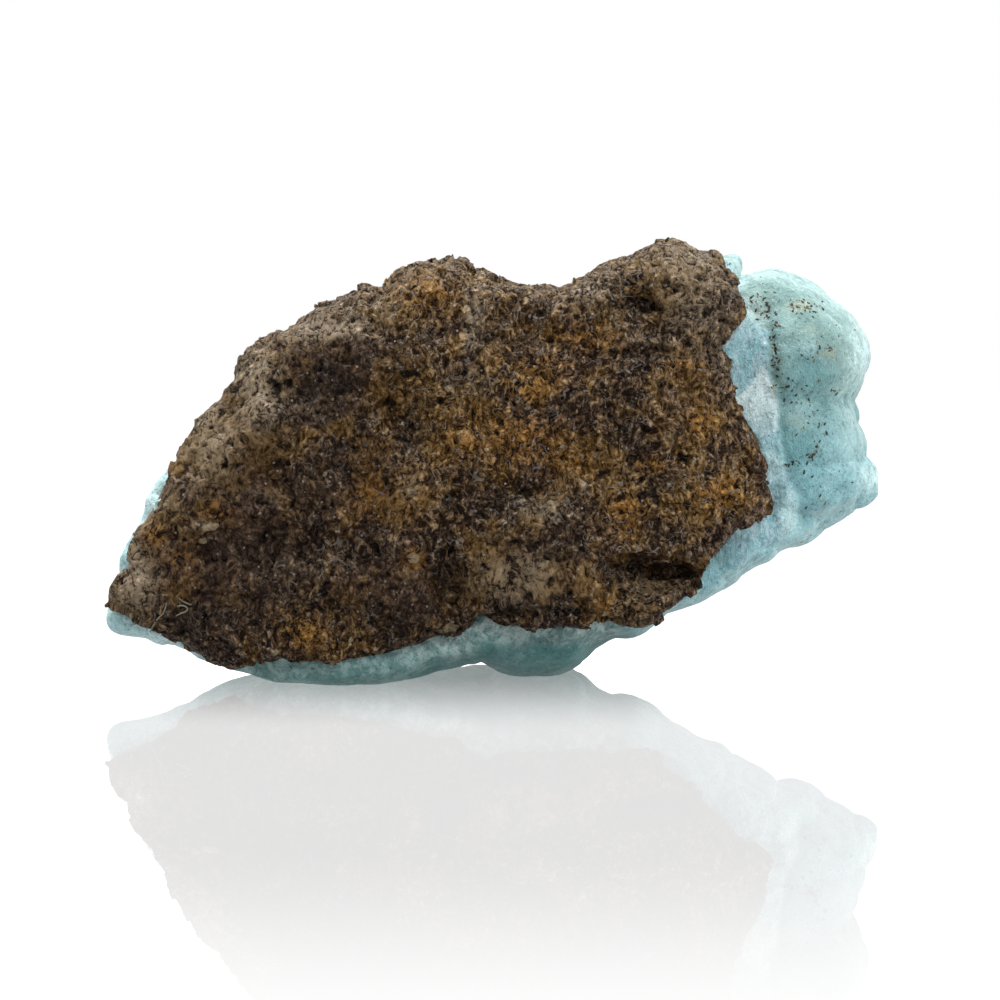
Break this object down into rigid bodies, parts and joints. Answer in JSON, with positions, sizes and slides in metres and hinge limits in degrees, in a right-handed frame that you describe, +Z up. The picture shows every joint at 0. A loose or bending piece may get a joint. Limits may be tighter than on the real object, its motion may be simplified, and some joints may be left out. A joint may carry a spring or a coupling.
{
  "type": "rough hemimorphite",
  "caption": "Rough stone of pale blue, grape-like hemimorphite grown over brown, iron-stained matrix rock. It rests on small flats on its foot.",
  "frame": {"origin": "middle of the bounding box, at its bottom, on the surface that the stone rests on", "axes": "+Z up; +X along the stone's length, towards the end where the blue crust shows; +Y from the brown matrix face to the blue back"},
  "size_m": [0.0422, 0.0172, 0.0236],
  "materials": {
    "iron_stained_rock": "rough, granular, with glossy specks",
    "blue_hemimorphite": "satin, milky, slightly translucent"
  },
  "bodies": {
    "root": {"matrix_rock": "iron_stained_rock", "hemimorphite_crust": "blue_hemimorphite"}
  },
  "joints": []
}
